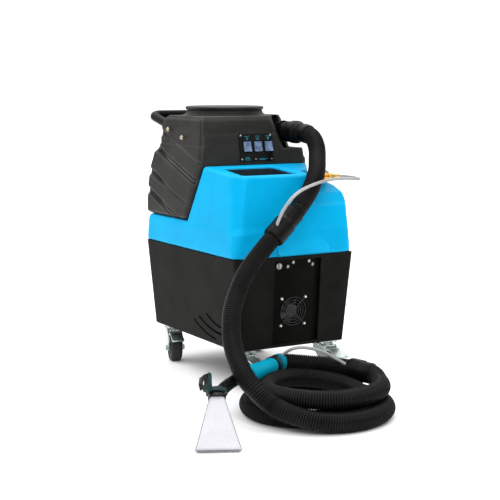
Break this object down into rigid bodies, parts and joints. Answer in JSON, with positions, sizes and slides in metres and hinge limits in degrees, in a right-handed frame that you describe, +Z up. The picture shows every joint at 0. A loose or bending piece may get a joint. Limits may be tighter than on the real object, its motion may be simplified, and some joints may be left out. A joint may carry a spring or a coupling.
{
  "type": "carpet extractor",
  "caption": "Portable carpet extractor on swivel casters: black base, blue solution tank with tool bin, black recovery tank, lid, handle, ribbed vacuum hose, solution line and hand tool.",
  "frame": {"origin": "on the floor, under the middle of the machine's own box, without its hose, line and hand tool", "axes": "+Z up, -Y to the front where the fan panel and the tool bin are, +X to the right seen from the front"},
  "size_m": [0.7077, 1.0134, 0.72],
  "materials": {
    "base_black": "rotomoulded, fine orange peel",
    "panel_black": "powder coated",
    "steel": "plain",
    "zinc": "bright zinc plated",
    "fan_black": "satin",
    "motor_grey": "cast and spun",
    "pump_grey": "painted",
    "wheel_rubber": "satin",
    "tank_blue": "rotomoulded, semi-gloss",
    "liner_slate": "satin",
    "tank_black": "rotomoulded, fine orange peel",
    "lid_black": "satin",
    "gasket_rubber": "matte",
    "pipe_white": "plain",
    "handle_black": "gloss powder coat",
    "bezel_black": "gloss",
    "rocker_blue": "lit, translucent",
    "brass": "machined",
    "bronze": "knurled",
    "lever_red": "vinyl",
    "hose_black": "ribbed, satin",
    "cuff_black": "satin",
    "line_grey": "smooth",
    "grip_cyan": "satin",
    "tool_black": "satin",
    "nozzle_white": "translucent, clear to white",
    "valve_teal": "anodised"
  },
  "bodies": {
    "machine": {"base_shell": "base_black", "front_panel": "panel_black", "panel_fasteners": "steel", "fan_frame": "fan_black", "fan_guard": "fan_black", "fan_screws": "steel", "power_inlets": "fan_black", "vacuum_motor": "motor_grey", "solution_pump": "pump_grey", "caster_plates": "zinc", "caster_bolts": "steel", "solution_tank": "tank_blue", "bin_liner": "liner_slate", "recovery_tank": "tank_black", "standpipe": "pipe_white", "lid_gasket": "gasket_rubber", "handle": "handle_black", "handle_screws": "steel", "switch_panel": "bezel_black", "switch_screws": "steel", "hose_inlet": "cuff_black", "hose_elbow": "cuff_black", "drain_valve": "cuff_black", "solution_coupler": "brass", "coupler_plug": "brass", "upper_hose": "hose_black", "mid_cuff": "cuff_black", "lower_hose": "hose_black", "hose_coil": "hose_black", "tool_cuff": "cuff_black", "tail_hose": "hose_black", "upper_line": "line_grey", "lower_line": "line_grey", "tool_grip": "grip_cyan", "tool_tube": "tool_black", "tool_nozzle": "nozzle_white", "tool_valve": "valve_teal"},
    "fan": {"fan_rotor": "fan_black"},
    "swivel_front_left": {"fork_front_left": "zinc"},
    "wheel_front_left": {"wheel_front_left": "wheel_rubber"},
    "brake_front_left": {"brake_front_left": "zinc"},
    "swivel_front_right": {"fork_front_right": "zinc"},
    "wheel_front_right": {"wheel_front_right": "wheel_rubber"},
    "brake_front_right": {"brake_front_right": "zinc"},
    "swivel_rear_left": {"fork_rear_left": "zinc"},
    "wheel_rear_left": {"wheel_rear_left": "wheel_rubber"},
    "brake_rear_left": {"brake_rear_left": "zinc"},
    "swivel_rear_right": {"fork_rear_right": "zinc"},
    "wheel_rear_right": {"wheel_rear_right": "wheel_rubber"},
    "brake_rear_right": {"brake_rear_right": "zinc"},
    "lid": {"lid": "lid_black"},
    "fill_cap": {"fill_cap": "tank_blue"},
    "rocker_left": {"rocker_left": "rocker_blue"},
    "rocker_middle": {"rocker_middle": "rocker_blue"},
    "rocker_right": {"rocker_right": "rocker_blue"},
    "drain_lever": {"drain_lever": "lever_red"},
    "coupler_collar": {"coupler_collar": "bronze"},
    "tool_trigger": {"tool_trigger": "tool_black"}
  },
  "joints": [
    {"name": "fan_spin", "type": "hinge", "parent": "machine", "child": "fan", "pos_m": [0, -0.25084, 0.19724], "axis": [0, 0.9975, 0.0712], "continuous": true},
    {"name": "front_left_swivel", "type": "hinge", "parent": "machine", "child": "swivel_front_left", "pos_m": [-0.126, -0.2119, 0.095], "axis": [0, 0, 1], "continuous": true},
    {"name": "front_left_roll", "type": "hinge", "parent": "swivel_front_left", "child": "wheel_front_left", "pos_m": [-0.12183, -0.24161, 0.038], "axis": [0.9903, 0.1392, 0], "continuous": true},
    {"name": "front_left_brake", "type": "hinge", "parent": "swivel_front_left", "child": "brake_front_left", "pos_m": [-0.12294, -0.23369, 0.08], "axis": [0.9903, 0.1392, 0], "range_deg": [0, 8]},
    {"name": "front_right_swivel", "type": "hinge", "parent": "machine", "child": "swivel_front_right", "pos_m": [0.126, -0.2119, 0.095], "axis": [0, 0, 1], "continuous": true},
    {"name": "front_right_roll", "type": "hinge", "parent": "swivel_front_right", "child": "wheel_front_right", "pos_m": [0.12757, -0.24186, 0.038], "axis": [0.9986, 0.0523, 0], "continuous": true},
    {"name": "front_right_brake", "type": "hinge", "parent": "swivel_front_right", "child": "brake_front_right", "pos_m": [0.12715, -0.23387, 0.08], "axis": [0.9986, 0.0523, 0], "range_deg": [0, 8]},
    {"name": "rear_left_swivel", "type": "hinge", "parent": "machine", "child": "swivel_rear_left", "pos_m": [-0.126, 0.1881, 0.095], "axis": [0, 0, 1], "continuous": true},
    {"name": "rear_left_roll", "type": "hinge", "parent": "swivel_rear_left", "child": "wheel_rear_left", "pos_m": [-0.13427, 0.15926, 0.038], "axis": [0.9613, -0.2756, 0], "continuous": true},
    {"name": "rear_left_brake", "type": "hinge", "parent": "swivel_rear_left", "child": "brake_rear_left", "pos_m": [-0.13206, 0.16695, 0.08], "axis": [0.9613, -0.2756, 0], "range_deg": [0, 8]},
    {"name": "rear_right_swivel", "type": "hinge", "parent": "machine", "child": "swivel_rear_right", "pos_m": [0.126, 0.1881, 0.095], "axis": [0, 0, 1], "continuous": true},
    {"name": "rear_right_roll", "type": "hinge", "parent": "swivel_rear_right", "child": "wheel_rear_right", "pos_m": [0.13224, 0.15876, 0.038], "axis": [0.9781, 0.2079, 0], "continuous": true},
    {"name": "rear_right_brake", "type": "hinge", "parent": "swivel_rear_right", "child": "brake_rear_right", "pos_m": [0.13057, 0.16658, 0.08], "axis": [0.9781, 0.2079, 0], "range_deg": [0, 8]},
    {"name": "lid_lift", "type": "slide", "parent": "machine", "child": "lid", "axis": [0, 0, 1], "range_m": [0, 0.12]},
    {"name": "fill_cap_turn", "type": "hinge", "parent": "machine", "child": "fill_cap", "pos_m": [0.134, -0.1689, 0.54], "axis": [0, 0, 1], "continuous": true},
    {"name": "rocker_left_tilt", "type": "hinge", "parent": "machine", "child": "rocker_left", "pos_m": [-0.02, -0.0474, 0.61199], "axis": [1, 0, 0], "range_deg": [0, 10]},
    {"name": "rocker_middle_tilt", "type": "hinge", "parent": "machine", "child": "rocker_middle", "pos_m": [0.013, -0.0474, 0.61199], "axis": [1, 0, 0], "range_deg": [0, 10]},
    {"name": "rocker_right_tilt", "type": "hinge", "parent": "machine", "child": "rocker_right", "pos_m": [0.046, -0.0474, 0.61199], "axis": [1, 0, 0], "range_deg": [0, 10]},
    {"name": "drain_lever_turn", "type": "hinge", "parent": "machine", "child": "drain_lever", "pos_m": [0, 0.2691, 0.475], "axis": [0, 0, 1], "range_deg": [0, 90]},
    {"name": "coupler_collar_slide", "type": "slide", "parent": "machine", "child": "coupler_collar", "axis": [-1, 0, 0], "range_m": [0, 0.0035], "stiffness_N_per_m": 600, "springref_m": -0.002},
    {"name": "tool_trigger_pull", "type": "hinge", "parent": "machine", "child": "tool_trigger", "pos_m": [-0.428, -0.58771, 0.14586], "axis": [0.3168, -0.8169, 0.4821], "range_deg": [0, 8], "stiffness_Nm_per_rad": 0.4, "springref_deg": -11.46}
  ]
}
